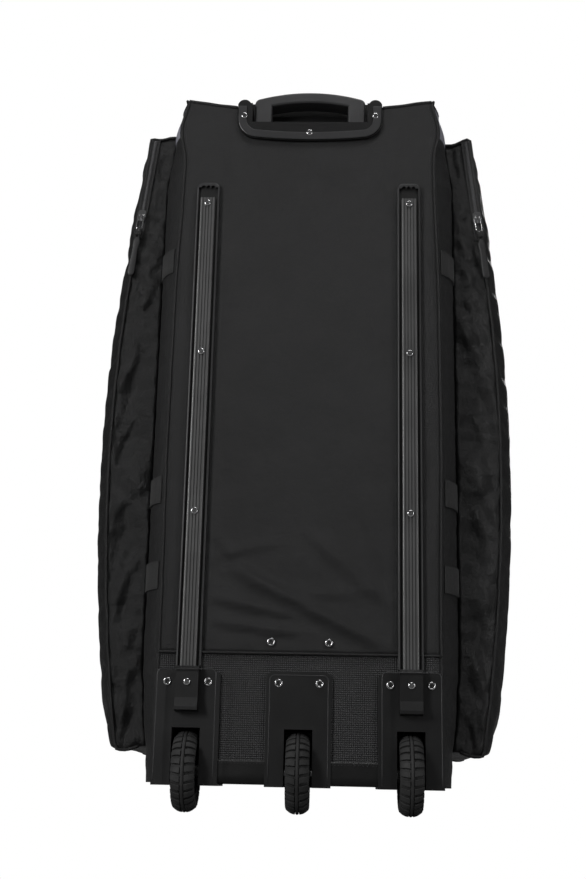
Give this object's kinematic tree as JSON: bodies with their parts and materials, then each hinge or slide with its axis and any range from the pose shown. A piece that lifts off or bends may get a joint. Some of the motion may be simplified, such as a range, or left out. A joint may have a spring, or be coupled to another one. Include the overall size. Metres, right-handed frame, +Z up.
{
  "type": "hockey equipment bag",
  "caption": "Tall upright rolling equipment bag: padded fabric compartment with hinged zip lid, side pockets, skid rails, wheels in housings and a pull-out handle.",
  "frame": {"origin": "centre of the overall box on the ground under the wheels and front feet", "axes": "+Z up along the bag, the rolling back with rails and wheels faces -Y, width along X"},
  "size_m": [0.6146, 0.434, 1.0533],
  "materials": {
    "body_fabric": "smooth coated polyester, faint satin",
    "accent_fabric": "light grey woven polyester",
    "base_fabric": "coarse ballistic weave, coated",
    "pocket_fabric": "soft nylon, slightly glossy",
    "zip_tape": "woven tape with moulded coil",
    "zip_metal": "plated, worn",
    "pull_cord": "soft moulded tab",
    "webbing": "ribbed polypropylene webbing",
    "sleeve_fabric": "padded fabric wrap",
    "stiffener": "twin-wall sheet",
    "housing_plastic": "fine moulded grain",
    "rail_plastic": "fine moulded grain",
    "rail_strip": "satin gunmetal",
    "screw_steel": "bright plated",
    "axle_steel": "ground",
    "tyre_rubber": "matt",
    "rim_plastic": "moulded",
    "bush_metal": "machined",
    "handle_plastic": "satin moulded",
    "grip_plastic": "fine texture",
    "tube_metal": "anodised",
    "foot_plastic": "moulded",
    "foot_rubber": "matt"
  },
  "bodies": {
    "bag": {"axles": "axle_steel", "back_board": "stiffener", "back_panel": "body_fabric", "base_board": "stiffener", "bottom_panel": "base_fabric", "bracket_bolts": "screw_steel", "foot_pads": "foot_rubber", "foot_screws": "screw_steel", "front_feet": "foot_plastic", "front_panel": "body_fabric", "gusset_webbing": "webbing", "handle_bezel": "handle_plastic", "haul_handles": "webbing", "haul_sleeves": "sleeve_fabric", "housing_rivets": "screw_steel", "lid_zip_outer": "zip_tape", "lower_bracket": "handle_plastic", "outer_tubes": "tube_metal", "pan_screws": "screw_steel", "pocket_left": "pocket_fabric", "pocket_right": "pocket_fabric", "pocket_zips": "zip_tape", "rail_base_left": "rail_plastic", "rail_base_right": "rail_plastic", "rail_strip_left": "rail_strip", "rail_strip_right": "rail_strip", "side_handles": "webbing", "side_panel_left": "body_fabric", "side_panel_right": "body_fabric", "top_handle": "webbing", "top_panel": "accent_fabric", "wheel_housing_left": "housing_plastic", "wheel_housing_middle": "housing_plastic", "wheel_housing_right": "housing_plastic"},
    "wheel_left": {"tyre_left": "tyre_rubber", "rim_left": "rim_plastic", "bushes_left": "bush_metal"},
    "wheel_middle": {"tyre_middle": "tyre_rubber", "rim_middle": "rim_plastic", "bushes_middle": "bush_metal"},
    "wheel_right": {"tyre_right": "tyre_rubber", "rim_right": "rim_plastic", "bushes_right": "bush_metal"},
    "handle": {"grip": "grip_plastic", "inner_tubes": "tube_metal", "tube_plugs": "grip_plastic"},
    "release": {"grip_button": "grip_plastic", "release_yoke": "tube_metal"},
    "lock_left": {"lock_pin_left": "axle_steel"},
    "lock_right": {"lock_pin_right": "axle_steel"},
    "lid": {"lid_panel": "body_fabric", "lid_zip_inner": "zip_tape"},
    "lid_slider_upper": {"lid_slider_upper": "zip_metal"},
    "lid_slider_lower": {"lid_slider_lower": "zip_metal"},
    "lid_pull_upper": {"lid_pull_upper": "zip_metal"},
    "lid_pull_lower": {"lid_pull_lower": "zip_metal"},
    "pocket_slider_left": {"pocket_slider_left": "zip_metal"},
    "pocket_slider_right": {"pocket_slider_right": "zip_metal"},
    "pocket_pull_left": {"pocket_pull_left": "pull_cord"},
    "pocket_pull_right": {"pocket_pull_right": "pull_cord"}
  },
  "joints": [
    {"name": "wheel_left_spin", "type": "hinge", "parent": "bag", "child": "wheel_left", "pos_m": [-0.147, -0.165, 0.052], "axis": [1, 0, 0], "continuous": true},
    {"name": "wheel_middle_spin", "type": "hinge", "parent": "bag", "child": "wheel_middle", "pos_m": [0, -0.165, 0.052], "axis": [1, 0, 0], "continuous": true},
    {"name": "wheel_right_spin", "type": "hinge", "parent": "bag", "child": "wheel_right", "pos_m": [0.147, -0.165, 0.052], "axis": [1, 0, 0], "continuous": true},
    {"name": "handle_slide", "type": "slide", "parent": "bag", "child": "handle", "axis": [0, 0, 1], "range_m": [0, 0.32]},
    {"name": "button_press", "type": "slide", "parent": "handle", "child": "release", "axis": [0, 0, -1], "range_m": [0, 0.004], "stiffness_N_per_m": 500, "springref_m": -0.004},
    {"name": "lock_left_draw", "type": "slide", "parent": "handle", "child": "lock_left", "axis": [1, 0, 0], "range_m": [0, 0.003]},
    {"name": "lock_right_draw", "type": "slide", "parent": "handle", "child": "lock_right", "axis": [-1, 0, 0], "range_m": [0, 0.003]},
    {"name": "lid_swing", "type": "hinge", "parent": "bag", "child": "lid", "pos_m": [-0.1397, 0.185, 0], "axis": [0, 0, 1], "range_deg": [0, 100]},
    {"name": "lid_slider_upper_run", "type": "slide", "parent": "lid", "child": "lid_slider_upper", "axis": [0, 0, 1], "range_m": [0, 0.3]},
    {"name": "lid_pull_upper_lift", "type": "hinge", "parent": "lid_slider_upper", "child": "lid_pull_upper", "pos_m": [0.137, 0.1912, 0.554], "axis": [1, 0, 0], "range_deg": [0, 120]},
    {"name": "lid_slider_lower_run", "type": "slide", "parent": "lid", "child": "lid_slider_lower", "axis": [0, 0, -1], "range_m": [0, 0.3]},
    {"name": "lid_pull_lower_lift", "type": "hinge", "parent": "lid_slider_lower", "child": "lid_pull_lower", "pos_m": [0.137, 0.1912, 0.51], "axis": [1, 0, 0], "range_deg": [0, 120]},
    {"name": "pocket_slider_left_run", "type": "slide", "parent": "bag", "child": "pocket_slider_left", "axis": [0.1162, 0, 0.9932], "range_m": [-0.02, 0.118]},
    {"name": "pocket_pull_left_lift", "type": "hinge", "parent": "pocket_slider_left", "child": "pocket_pull_left", "pos_m": [-0.25167, -0.1453, 0.859], "axis": [-0.9932, 0, 0.1162], "range_deg": [0, 120]},
    {"name": "pocket_slider_right_run", "type": "slide", "parent": "bag", "child": "pocket_slider_right", "axis": [-0.1162, 0, 0.9932], "range_m": [-0.02, 0.118]},
    {"name": "pocket_pull_right_lift", "type": "hinge", "parent": "pocket_slider_right", "child": "pocket_pull_right", "pos_m": [0.25167, -0.1453, 0.859], "axis": [-0.9932, 0, -0.1162], "range_deg": [0, 120]}
  ],
  "couplings": [
    {"joint": "lock_left_draw", "follows": "button_press", "ratio": 0.75},
    {"joint": "lock_right_draw", "follows": "button_press", "ratio": 0.75}
  ]
}
